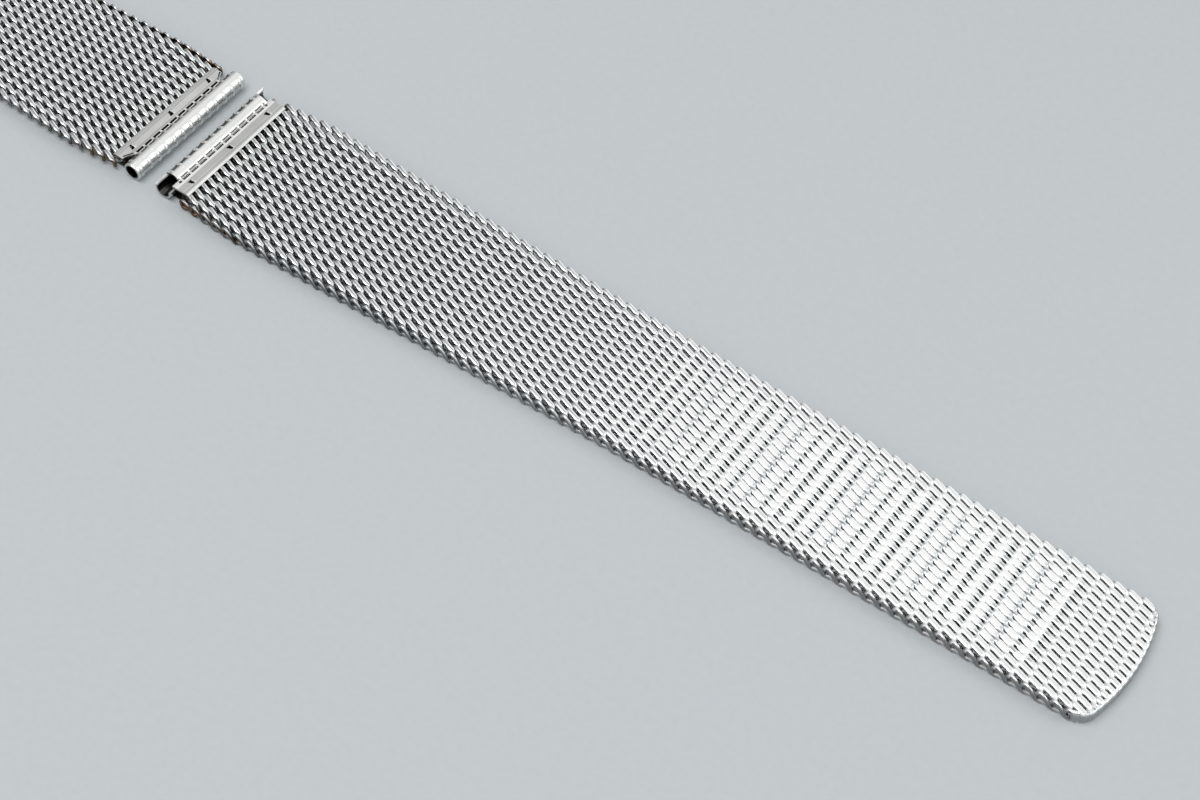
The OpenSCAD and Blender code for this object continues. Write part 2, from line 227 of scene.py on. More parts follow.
def pressed_stainless_sheet(light):
    """Stainless sheet, brushed across the bracelet before pressing, polished outside and painted dark inside
    as painted shade.

    The brushing draws a reflection out across its strokes. Walls that face sideways are brushed along
    the bracelet.
    """
    made, tree, shader, coords = new_material("pressed_stainless_sheet")
    dirt_and_shade = add_node(tree, "ShaderNodeAttribute", {"attribute_name": "dirt_and_shade"}, out="Fac")
    facing = add_node(tree, "ShaderNodeTexCoord", out="Normal")
    sideways = add_node(tree, "ShaderNodeSeparateXYZ", out="Y", Vector=facing)
    sideways = add_node(tree, "ShaderNodeMath", {"operation": "ABSOLUTE"}, _0=sideways)
    wall = add_node(tree, "ShaderNodeMapRange", Value=sideways, From_Min=0.6, From_Max=0.8)
    # strokes are about 0.05 mm wide and millimetres long, drawn at 0.1 mm so that they show
    across = add_node(tree, "ShaderNodeVectorMath", DIVIDE, _0=coords, _1=(0.1, 2.6, 0.1))
    across = add_node(tree, "ShaderNodeTexNoise", Vector=across, Scale=1.0, Detail=4.0)
    along = add_node(tree, "ShaderNodeVectorMath", DIVIDE, _0=coords, _1=(2.6, 0.1, 0.1))
    along = add_node(tree, "ShaderNodeTexNoise", Vector=along, Scale=1.0, Detail=4.0)
    strokes = add_node(tree, "ShaderNodeMix", _0=wall, _2=across, _3=along)
    # wear is cloudy, 3 to 5 mm across
    worn = add_node(tree, "ShaderNodeVectorMath", DIVIDE, _0=coords, _1=(3.4, 5.2, 3.4))
    worn = add_node(tree, "ShaderNodeTexNoise", Vector=worn, Scale=1.0, Detail=2.0)
    worn = add_node(tree, "ShaderNodeMapRange", Value=worn, From_Min=0.3, From_Max=0.7)
    duller = [*(0.84 * c for c in light), 1.0]
    tone = add_node(tree, "ShaderNodeMix", COLOURS, 2, _0=worn, _6=duller, _7=[*light, 1.0])
    streaky = add_node(tree, "ShaderNodeMapRange", Value=strokes, From_Min=0.45, From_Max=0.8, To_Max=0.4)
    tone = add_node(tree, "ShaderNodeMix", COLOURS, 2, _0=streaky, _6=tone, _7=linear("#A9B0B4"))
    # painted shade darkens the sheet's inner side, the tube's flutes and the flange's panel towards a dark
    # brown-grey
    darkened = add_node(tree, "ShaderNodeMapRange", Value=dirt_and_shade, To_Max=0.93)
    colour = add_node(tree, "ShaderNodeMix", COLOURS, 2, _0=darkened, _6=tone, _7=linear("#2A2622"))
    finish_metal(tree, shader, colour, strokes, 0.2, 0.36, 0.3)
    return made


def turned_stainless():
    """Stainless turned on a lathe, with fine rings round its own axis, which lies across the bracelet."""
    made, tree, shader, coords = new_material("turned_stainless")
    # lathe rings every 0.04 mm, drawn every 0.15 mm so that they show
    rings = add_node(tree, "ShaderNodeVectorMath", DIVIDE, _0=coords, _1=(3.0, 0.15, 3.0))
    rings = add_node(tree, "ShaderNodeTexNoise", Vector=rings, Scale=1.0, Detail=2.0)
    crest = add_node(tree, "ShaderNodeMapRange", Value=rings, From_Min=0.3, From_Max=0.7)
    tone = add_node(tree, "ShaderNodeMix", COLOURS, 2, _0=crest, _6=linear("#A9ADAF"), _7=linear("#CDD0D0"))
    finish_metal(tree, shader, tone, rings, 0.22, 0.36, 0.3)
    return made


def backing_paper(colour):
    """Pale backing paper, pressed smooth, so matt and plain with only a trace of tooth."""
    made, tree, shader, coords = new_material("backing_paper")
    # paper's tooth is about 0.1 mm across, drawn at 0.8 mm so that it shows
    tooth = add_node(tree, "ShaderNodeVectorMath", DIVIDE, _0=coords, _1=(0.8, 0.8, 0.8))
    tooth = add_node(tree, "ShaderNodeTexNoise", Vector=tooth, Scale=1.0, Detail=3.0)
    tooth = add_node(tree, "ShaderNodeMapRange", Value=tooth, From_Min=0.3, From_Max=0.7, To_Max=0.06)
    shade = add_node(tree, "ShaderNodeMix", COLOURS, 2, _0=tooth, _6=[*colour, 1.0], _7=linear("#8C949A"))
    tree.links.new(shade, shader.inputs["Base Color"])
    shader.inputs["Roughness"].default_value = 0.9
    return made


def pale_studio():
    """A world that lights evenly, and that metal sees as a white room with darker parts."""
    world = bpy.data.worlds.new("studio")
    world.use_nodes = True
    tree = world.node_tree
    towards = add_node(tree, "ShaderNodeTexCoord", out="Generated")
    x, y, z = add_node(tree, "ShaderNodeSeparateXYZ", Vector=towards).node.outputs
    # the room is darker on the left, low down and straight overhead
    room = add_node(tree, "ShaderNodeMapRange", Value=x, From_Min=-0.9, From_Max=-0.35, To_Min=0.4)
    for level, light_at, darkest in ((z, 0.4, 0.62), (y, 0.45, 0.7)):
        shade = add_node(tree, "ShaderNodeMapRange", Value=level, From_Max=light_at, To_Min=darkest)
        room = add_node(tree, "ShaderNodeMath", MULTIPLY, _0=room, _1=shade)
    # a window at the far side and a white wall on the near side
    window = add_node(tree, "ShaderNodeMapRange", Value=y, From_Min=0.7, From_Max=0.9, To_Max=0.5)
    wall = add_node(tree, "ShaderNodeMapRange", Value=y, From_Min=0.1, From_Max=-0.35, To_Max=0.3)
    lighter = add_node(tree, "ShaderNodeMath", MAXIMUM, _0=window, _1=wall)
    room = add_node(tree, "ShaderNodeMath", CLAMPED_ADD, _0=room, _1=lighter)
    grey = add_node(tree, "ShaderNodeCombineColor", _0=room, _1=room, _2=room)
    glossy = add_node(tree, "ShaderNodeLightPath", out="Is Glossy Ray")
    shown = add_node(tree, "ShaderNodeMix", COLOURS, 2, _0=glossy, _6=linear("#BCBDBD"), _7=grey)
    background = tree.nodes["Background"]
    tree.links.new(shown, background.inputs["Color"])
    background.inputs["Strength"].default_value = 1.0
    return world


def smooth_step(value, low, high):
    """0 at low and 1 at high, and eased between them."""
    t = np.clip((value - low) / (high - low), 0, 1)
    return t * t * (3 - 2 * t)


def joined(parts):
    """Several (points, faces) as one."""
    verts, faces = [], []
    for points, part_faces in parts:
        start = len(verts)
        verts += points.tolist()
        faces += [tuple(i + start for i in f) for f in part_faces]
    return verts, faces


def make_piece(name, verts_mm, faces, material, body, node, traits, sharp=0):
    """A mesh object from points in millimetres, which rides on a CAD body in place of a CAD node.

    traits holds a value for each point by name, for the material. Edges past the angle sharp stay crisp.
    """
    used = sorted({i for f in faces for i in f})
    index = {old: new for new, old in enumerate(used)}
    points = [tuple(c * MM for c in verts_mm[i]) for i in used]
    mesh = bpy.data.meshes.new(name)
    mesh.from_pydata(points, [], [[index[i] for i in f] for f in faces])
    mesh.validate()
    mesh.update()
    mesh.polygons.foreach_set("use_smooth", [True] * len(mesh.polygons))
    for trait, values in traits.items():
        mesh.attributes.new(trait, "FLOAT", "POINT").data.foreach_set("value", [values[i] for i in used])
    if sharp:
        shape = bmesh.new()
        shape.from_mesh(mesh)
        bmesh.ops.recalc_face_normals(shape, faces=shape.faces)
        shape.to_mesh(mesh)
        shape.free()
        mesh.set_sharp_from_angle(angle=math.radians(sharp))
    made = bpy.data.objects.new(name, mesh)
    bpy.context.scene.collection.objects.link(made)
    mesh.materials.append(material)
    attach(made, body)
    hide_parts(node)
    return made


def tube_faces(rings, sides, inside_out=False):
    """Faces of a closed tube whose points stand ring after ring, with a face at each end."""
    start = (np.arange(rings - 1) * sides)[:, None]
    here, beside = start + np.arange(sides), start + (np.arange(sides) + 1) % sides
    corners = [here, beside, beside + sides, here + sides]
    first, last = range(sides), range((rings - 1) * sides, rings * sides)
    if inside_out:
        corners = [here, here + sides, beside + sides, beside]
        ends = [tuple(first), tuple(last[::-1])]
    else:
        ends = [tuple(first[::-1]), tuple(last)]
    return [tuple(f) for f in np.stack(corners, -1).reshape(-1, 4).tolist()] + ends


def width_at(half, u):
    """Full width of the mesh at a distance from the tube."""
    table = LONG_WIDTHS if half == "long" else SHORT_WIDTHS
    return float(np.interp(u, [t[0] for t in table], [t[1] for t in table]))


def tip_edge(y):
    """How far the rounded tip reaches at a place across the bracelet."""
    y = np.abs(y)
    arc = TIP_U - TIP_R + np.sqrt(TIP_R**2 - y**2)
    into = np.clip(y - (TIP_HALF - TIP_CORNER), 0, TIP_CORNER - 1e-6)
    return arc - (TIP_CORNER - np.sqrt(TIP_CORNER**2 - into**2))


# One turn of a flattened spiral as seen along its axis: a flat, a bend, a flat, a bend
FLAT_HALF = 0.56
BEND_X = 0.44
BEND_Z = 0.54
FLAT_SHARE = 0.42
# Cross sections of the wire, as (share of its half width, height outward in mm), on a flat and in a bend.
# The ground flat lies between the second and the last but one point of its upper side, and a rim follows
# on each side, which the material paints lighter as a painted highlight.
FLAT_SECTION = (
    (-0.36, 0.255),
    (0.36, 0.255),
    (0.4, 0.255),
    (0.86, 0.222),
    (1.0, 0.08),
    (0.98, -0.08),
    (0.6, -0.2),
    (0.0, -0.24),
    (-0.6, -0.2),
    (-0.98, -0.08),
    (-1.0, 0.08),
    (-0.86, 0.222),
    (-0.4, 0.255),
)
BEND_SECTION = (
    (-0.22, 0.25),
    (0.22, 0.25),
    (0.3, 0.245),
    (0.66, 0.19),
    (0.95, 0.08),
    (0.95, -0.08),
    (0.55, -0.19),
    (0.0, -0.23),
    (-0.55, -0.19),
    (-0.95, -0.08),
    (-0.95, 0.08),
    (-0.66, 0.19),
    (-0.3, 0.245),
)
SIDES = len(FLAT_SECTION)
# The points between which the rims lie, and where the darkening sits, painted shade with the brown stain near
# the
# tubes: least on the flat, most facing inward
RIM_POINTS = (2, 3, SIDES - 2, SIDES - 1)
SECTION_DIRT_AND_SHADE = (0.0, 0.0, 0.0, 0.0, 0.75, 0.9, 1.0, 1.0, 1.0, 0.9, 0.75, 0.0, 0.0)

# Half the wire's width in a bend, and what grinding, the press and the clasp's rubbing add to it. It stays
# under this share of the pitch, so that turns side by side keep clear of each other.
WIRE_HALF = 0.18
GROUND_WIDER = 0.08
PRESSED_WIDER = 0.14
RUBBED_WIDER = 0.07
PITCH_SHARE = 0.46
# How far the wire's middle line keeps inside the strap's edges, where its first turn begins, the width
# that the turns leave to the bends at the edges, and how far the mesh keeps inside its two faces
EDGE_INSET = 0.24
START_INSET = 0.26
SPARE_WIDTH = 0.5
FACE_INSET = 0.003
# How uneven the turns are, as a share of their length and in millimetres across
UNEVEN_LENGTH = 0.012
UNEVEN_PLACE = 0.014
# A spiral has a few points more before its first turn, and after its last it closes in a strand that runs
# down the strap's side, this far along it
LEAD_POINTS = 4
STRAND_RUN = 1.5
STRAND_HALF = 0.13
STRAND_THICKER = 1.25

# Painted shade on the strap's two sides, by distance from the tube. It grows along the bracelet, so it
# makes up for the painted shade that the finish takes away there.
SIDE_SHADE_U = (22.0, 44.0, 58.0, 66.0)
SIDE_SHADE = (1.9, 2.4, 4.5, 9.5)

# Bands pressed across the long half for the lever's tooth. A band's edge runs from no press to the full
# one at these distances from its middle. PRESS_STRENGTH is how hard the press came down at PRESS_U.
BAND_START = 60.94
BAND_PITCH = 1.87
BAND_END = 104.9
BAND_HALF_WIDTH = 5.5
BAND_EDGE = (0.66, 0.5)
PRESS_U = (56.0, 62.0, 78.0, BAND_END, BAND_END + 0.3)
PRESS_STRENGTH = (0.0, 0.35, 1.0, 1.0, 0.0)


def turn_table(flat_steps, bend_steps):
    """Rows of (x, z, outward x, outward z, share of the pitch passed, how far into a flat) for one turn."""
    rows = []
    for side in (1, -1):
        start = 0.0 if side == 1 else 0.5
        for i in range(flat_steps):
            t = i / flat_steps
            x = side * FLAT_HALF * (2 * t - 1)
            rows.append((x, side * BEND_Z, 0.0, float(side), start + FLAT_SHARE * t, 1.0))
        for i in range(bend_steps):
            t = i / bend_steps
            a = math.pi * (0.5 - t)
            c, h = math.cos(a), math.sin(a)
            x = side * (FLAT_HALF + BEND_X * c)
            flat = max(0.0, (abs(h) - 0.6) / 0.4)
            passed = start + FLAT_SHARE + (0.5 - FLAT_SHARE) * t
            rows.append((x, side * BEND_Z * h, side * c, side * h, passed, flat))
    return np.array(rows)


# The pressed bands need more points along the wire than the plain mesh does
PLAIN_TURN = turn_table(3, 6)
BANDED_TURN = turn_table(7, 10)


def band_press(u, y):
    """How hard the long half was pressed at a place, and how much was left out between bands, as 0 to 1."""
    bands = (u - BAND_START) / BAND_PITCH
    from_band = np.abs(bands - np.round(bands)) * BAND_PITCH
    across = smooth_step(np.abs(y), BAND_HALF_WIDTH + 0.45, BAND_HALF_WIDTH - 0.1)
    strength = np.interp(u, PRESS_U, PRESS_STRENGTH)
    press = smooth_step(from_band, *BAND_EDGE) * across * strength
    return press, across * strength - press


def spiral_line(half, u, width, pitch, seed):
    """One spiral's middle line, as its points from the row's middle and the turn table's rows for them.

    The last two values say which points are the closing strand, and how far down it a point is.
    """
    rng = random.Random(seed)
    banded = half == "long" and BAND_START - 6 < u < BAND_END + 1
    one_turn = BANDED_TURN if banded else PLAIN_TURN
    per_turn = len(one_turn)
    index = np.arange(per_turn * TURNS + per_turn // 2 + LEAD_POINTS) - LEAD_POINTS
    turn = index // per_turn
    table = one_turn[index % per_turn]
    jitter = np.array([rng.uniform(-1, 1) for _ in range(TURNS + 4)])[turn]
    x = table[:, 0] * (1 + UNEVEN_LENGTH * jitter)
    y = width / 2 - START_INSET - (turn + table[:, 4]) * pitch + UNEVEN_PLACE * jitter
    z = table[:, 1].copy()
    closing = turn == TURNS
    run = table[:, 4] / 0.5
    edge = width / 2 - EDGE_INSET
    x[closing] = (STRAND_RUN * run - FLAT_HALF)[closing]
    z[closing] = (BEND_Z * (1 - 2 * smooth_step(run, 0.12, 0.96)))[closing]
    strand_y = np.maximum(0.27 - width / 2 - 0.5 * run, 0.14 - width / 2)
    y = np.where(closing, strand_y, np.clip(y, -edge, edge))
    return x, y, z, table, closing, run


def wire_row(half, u, seed):
    """One spiral of the mesh as (points in mm, faces, painted shade with stain, and polish with painted
    highlight of each point).
    """
    width = width_at(half, u)
    pitch = (width - SPARE_WIDTH) / TURNS
    x, y, z, table, closing, run = spiral_line(half, u, width, pitch, seed)
    count = len(x)
    press = left = np.zeros(count)
    worn = 0.0
    if half == "long":
        # only the upper face is pressed, and the clasp has rubbed the tip half's wires wider
        press, left = (share * (table[:, 3] > 0.05) for share in band_press(u + x, y))
        worn = RUBBED_WIDER * smooth_step(u, 48.0, 70.0) - 0.025 * left
    # pressing lifts the shoulders of a bend level with the flats beside them
    z = z + press * np.maximum(0, BEND_Z - z) * 0.7
    centre = np.stack([x, y, MESH_T / 2 + z], -1)
    along = np.gradient(centre, axis=0)
    along /= np.linalg.norm(along, axis=1)[:, None]
    out = np.stack([table[:, 2] * (1 - press), np.zeros(count), table[:, 3]], -1)
    out[closing] = np.stack([-along[:, 2], np.zeros(count), along[:, 0]], -1)[closing]
    out -= (out * along).sum(1)[:, None] * along
    out /= np.linalg.norm(out, axis=1)[:, None]
    side = np.cross(along, out)
    flat = np.maximum(np.where(closing, 1 - 3 * run, table[:, 5]), press).clip(0, 1)
    half_wide = WIRE_HALF + GROUND_WIDER * flat + PRESSED_WIDER * press + worn
    half_wide = np.where(closing, STRAND_HALF, np.minimum(half_wide, PITCH_SHARE * pitch))[:, None]
    thick = np.where(closing, STRAND_THICKER, 1.0)[:, None, None]
    flat = flat[:, None, None]
    section = flat * np.array(FLAT_SECTION) + (1 - flat) * np.array(BEND_SECTION)
    ring = (
        centre[:, None, :]
        + out[:, None, :] * section[:, :, 1, None] * thick
        + side[:, None, :] * (half_wide * section[:, :, 0])[:, :, None]
    )
    # the press sinks the upper side a little
    ring[..., 2] -= 0.03 * press[:, None] * (section[:, :, 1] > 0.2)
    ring[..., 2] = np.clip(ring[..., 2], FACE_INSET, MESH_T - FACE_INSET)
    ring[..., 0] += u
    # the first spiral is squeezed between the flanges
    squeeze = smooth_step(ring[..., 0], FLANGE_U + 0.25, FLANGE_U + 0.02)
    ring[..., 2] = np.clip(ring[..., 2], (SHEET + 0.01) * squeeze, MESH_T - FACE_INSET - 0.11 * squeeze)
    if half == "long":
        ring[..., 0] = np.minimum(ring[..., 0], tip_edge(ring[..., 1]) - 0.3)
        ring[..., 0] += LONG_X
    else:
        # the short half is the same weave turned half round
        ring[..., 0] = SHORT_X - ring[..., 0]
        ring[..., 1] *= -1
    # painted shade also darkens the strap's sides, below the flats
    edge = width / 2 - EDGE_INSET
    beside = smooth_step(np.abs(y), edge - 0.35, edge - 0.1)[:, None]
    below = smooth_step(np.abs(ring[..., 2] - MESH_T / 2), 0.74, 0.6)
    side_shade = np.interp(u, SIDE_SHADE_U, SIDE_SHADE) * beside * below
    dirt_and_shade = np.maximum(np.array(SECTION_DIRT_AND_SHADE)[None, :], side_shade).reshape(-1)
    polish_and_highlight = np.repeat((press - left)[:, None], SIDES, axis=1)
    # the rims are painted lighter as a painted highlight, less so between the pressed bands
    polish_and_highlight[:, RIM_POINTS] = 1.0 - 0.6 * left[:, None]
    return ring.reshape(-1, 3), tube_faces(count, SIDES), dirt_and_shade, polish_and_highlight.reshape(-1)


def mark_flats(mesh, wire_points):
    """Keeps the edges of the ground flats and of their rims crisp."""
    pairs = np.empty(len(mesh.edges) * 2, int)
    mesh.edges.foreach_get("vertices", pairs)
    pairs = np.sort(pairs.reshape(-1, 2), axis=1)
    low = pairs[:, 0]
    sharp = (pairs[:, 1] - low == SIDES) & np.isin(low % SIDES, RIM_POINTS) & (low < wire_points)
    mesh.attributes.new("sharp_edge", "BOOLEAN", "EDGE").data.foreach_set("value", sharp)


def mesh_link(half, link, material):
    """The spirals of one link, joined into one piece that stands for its CAD node."""
    last = link == (LONG_LINKS if half == "long" else SHORT_LINKS)
    rows = list(range(ROWS_PER_LINK * (link - 1), ROWS_PER_LINK * link))
    if link == 1:
        # one spiral more, which the flanges clamp
        rows.insert(0, -1)
    # each row of each half has a seed of its own
    parts = [wire_row(half, FIRST_HINGE_U + (n + 0.5) * ROW_PITCH, 1000 * (half == "long") + n) for n in rows]
    wire_points = sum(len(part[0]) for part in parts)
    if half == "long" and last:
        parts.append(tip_border())
    verts, faces = joined(part[:2] for part in parts)
    dirt_and_shade, polish_and_highlight = (np.concatenate([part[k] for part in parts]).tolist() for k in (2, 3))
    body = f"{half}_end" if link == 1 else f"{half}_link_{link:02d}"
    if half == "short" and last:
        body = "clasp"
    made = make_piece(
        f"{half}_wires_{link:02d}",
        verts,
        faces,
        material,
        body,
        f"{half}_mesh_{link:02d}",
        {"dirt_and_shade": dirt_and_shade, "polish_and_highlight": polish_and_highlight},
    )
    mark_flats(made.data, wire_points)


def border_points():
    """The line of fused wire ends along the tip, its outward directions, and the distance along it."""
    corner = np.linspace(TIP_HALF - 0.02, TIP_HALF - TIP_CORNER, 14)
    y = np.concatenate([corner, np.linspace(TIP_HALF - TIP_CORNER - 0.1, 0, 60)])
    y = np.concatenate([y, -y[::-1][1:]])
    outline = np.stack([tip_edge(y), y], -1)
    start = np.array([[outline[0, 0] - 0.5, TIP_HALF - 0.01], [outline[0, 0] - 0.25, TIP_HALF - 0.01]])
    outline = np.concatenate([start, outline, start[::-1] * [1, -1]])
    step = np.concatenate([[0], np.cumsum(np.linalg.norm(np.diff(outline, axis=0), axis=1))])
    at = np.linspace(0, step[-1], 170)
    outline = np.stack([np.interp(at, step, outline[:, k]) for k in (0, 1)], -1)
    along = np.gradient(outline, axis=0)
    along /= np.linalg.norm(along, axis=1)[:, None]
    outward = np.stack([-along[:, 1], along[:, 0]], -1)
    outward *= np.sign((outward * (outline - [TIP_U - 8, 0])).sum(1))[:, None]
    return outline, outward, at


def tip_border():
    """The chain of fused, rounded-off wire ends along the tip, as (points in mm, faces, painted shade,
    polish).
    """
    outline, outward, at = border_points()
    # one wire's end swells it every 0.98 mm
    swell = np.abs(np.cos(math.pi * at / 0.98)) ** 0.6
    wide = 0.25 + 0.065 * swell
    high = 0.66 + 0.13 * swell
    middle = outline - outward * 0.325
    sides = 14
    angles = np.linspace(0, 2 * math.pi, sides, endpoint=False)
    # a power under 1 fills the section out, between a circle and a square
    fullness = 0.72
    c = np.sign(np.cos(angles)) * np.abs(np.cos(angles)) ** fullness
    s = np.sign(np.sin(angles)) * np.abs(np.sin(angles)) ** fullness
    ring = np.empty((len(at), sides, 3))
    ring[..., :2] = middle[:, None, :] + outward[:, None, :] * (wide[:, None] * c)[:, :, None]
    ring[..., 2] = MESH_T / 2 + high[:, None] * s
    ring[..., 0] += LONG_X
    # painted shade darkens the lower half of the border's outer side
    below = smooth_step(np.abs(ring[..., 2] - MESH_T / 2), 0.72, 0.5)
    side_shade = (0.75 * SIDE_SHADE[-1] * below).reshape(-1)
    return ring.reshape(-1, 3), tube_faces(len(at), sides, inside_out=True), side_shade, 0 * side_shade


def sheet_solid(upper, lower, keep, wrap=False):
    """A sheet from two grids of points. Cells that aren't kept are openings, and every edge is closed."""
    rows, columns = upper.shape[:2]
    offset = rows * columns

    def at(i, j):
        return (i % rows) * columns + j

    faces = []
    cell_rows, cell_columns = keep.shape
    for i in range(cell_rows):
        for j in range(cell_columns):
            if not keep[i, j]:
                continue
            corners = (at(i, j), at(i + 1, j), at(i + 1, j + 1), at(i, j + 1))
            faces.append(corners)
            faces.append(tuple(offset + c for c in reversed(corners)))
            for edge, (di, dj) in enumerate(((0, -1), (1, 0), (0, 1), (-1, 0))):
                oi, oj = i + di, j + dj
                if wrap:
                    oi %= cell_rows
                if 0 <= oi < cell_rows and 0 <= oj < cell_columns and keep[oi, oj]:
                    continue
                p, q = corners[edge], corners[(edge + 1) % 4]
                faces.append((q, p, offset + p, offset + q))
    return np.concatenate([upper.reshape(-1, 3), lower.reshape(-1, 3)]), faces


def place_half(half, u, y, z):
    """Points from distance to the half's tube, place across and height."""
    x = LONG_X + u if half == "long" else SHORT_X - u
    return np.stack(np.broadcast_arrays(x, y, z), -1)


def rib_places(half):
    """Where the ribs of a tube stand, measured across from its middle."""
    return (np.arange(RIBS[half]) - (RIBS[half] - 1) / 2) * RIB_PITCH


def ribs_at(y, half):
    """1 on the crest of a rib and 0 between ribs."""
    off = np.min(np.abs(y[..., None] - rib_places(half)), axis=-1)
    return smooth_step(off, RIB_HALF + 0.1, RIB_HALF)


def spread(places, extra=()):
    """Places in order, without those that nearly coincide."""
    y = np.unique(np.concatenate([places, np.asarray(extra, float)]))
    return y[np.concatenate([[True], np.diff(y) > 0.015])]


def rolled_tube(half):
    """The ribbed tube, as ((points in mm, faces), how deep in a flute each outer point lies, which is painted
    as shade).
    """
    far = LIP_FAR if half == "long" else TUBE_HALF
    y = spread(np.arange(-TUBE_HALF, far, 0.08), [-NOTCH_NEAR, NOTCH_FAR, TUBE_HALF, far])
    y[-1] = far
    # the long tube is cut open at both ends, from its seam over the top to its lip
    top_cells, low_cells = 34, 58
    lip = np.full(len(y), LIP_ANGLE)
    if half == "long":
        near_drop = np.interp(y, [-TUBE_HALF, -NOTCH_NEAR], [1, 0])
        far_drop = smooth_step(y, NOTCH_FAR, NOTCH_FAR + 0.4)
        lip = LIP_ANGLE + 22 * near_drop + 8 * far_drop
    share = np.linspace(0, 1, top_cells + 1)[:, None]
    rest = np.linspace(0, 1, low_cells + 1)[1:-1, None]
    angle = np.concatenate([SEAM_ANGLE + (lip - SEAM_ANGLE) * share, lip + (SEAM_ANGLE + 360 - lip) * rest])
    rib = ribs_at(y, half)[None, :]
    a = np.radians(angle)
    # painted shade darkens the flutes between ribs on the two upper sides, and over the top the ribs are
    # nearly level
    if half == "long":
        depth = smooth_step(angle, 98, 112) * smooth_step(angle, 158, 148) + 0.9 * smooth_step(angle, 49, 43)
    else:
        depth = smooth_step(angle, 72, 62) + 0.3 * smooth_step(angle, 118, 140) * smooth_step(angle, 215, 200)
    depth = depth * smooth_step(angle, 26, 32)
    last_rib = np.max(rib_places(half))
    reach = smooth_step(np.abs(y), last_rib + 0.5, last_rib + 0.2)[None, :]
    flute = depth * (1 - rib) * reach
    # a small boss at the foot of each rib on the outer side
    boss = 0.05 * np.exp(-(((angle - 190) / 10) ** 2)) * rib
    r = TUBE_R + 0.012 * rib + 0.05 * depth * rib - 0.1 * flute + boss
    r = np.minimum(r, RIB_R - 0.004)
    # rolled-in ends
    end = smooth_step(np.abs(y), TUBE_HALF - 0.12, TUBE_HALF)[None, :] * (y < TUBE_HALF + 0.01)
    r = r - 0.05 * end
    upper = place_half(half, r * np.cos(a), y[None, :], TUBE_Z + r * np.sin(a))
    inner = np.full(r.shape, BORE_R)
    if half == "long":
        # the far lip is thinner than the sheet
        inner = np.where(y[None, :] > TUBE_HALF - 0.01, r - 0.16, inner)
    lower = place_half(half, inner * np.cos(a), y[None, :], TUBE_Z + inner * np.sin(a))
    keep = np.ones((len(angle), len(y) - 1), bool)
    if half == "long":
        middle = (y[1:] + y[:-1]) / 2
        keep[:top_cells, (middle < -NOTCH_NEAR) | (middle > NOTCH_FAR)] = False
        keep[top_cells + 14 :, middle > TUBE_HALF] = False
    return sheet_solid(upper, lower, keep, wrap=True), flute


def flange_plan(half, lines, edge_u, extra=()):
    """The grid of a flange: distances from the tube and places across, fitted to its slits and ends."""
    y = spread(np.arange(-FLANGE_HALF, FLANGE_HALF, 0.09), [FLANGE_HALF, *extra])
    y[-1] = FLANGE_HALF
    slit = smooth_step(np.abs(y), 6.4, FLANGE_HALF) if half == "short" else 0 * y
    start = edge_u + (SLIT_U - edge_u) * slit
    return start[None, :] + (FLANGE_U - start[None, :]) * np.asarray(lines)[:, None], y


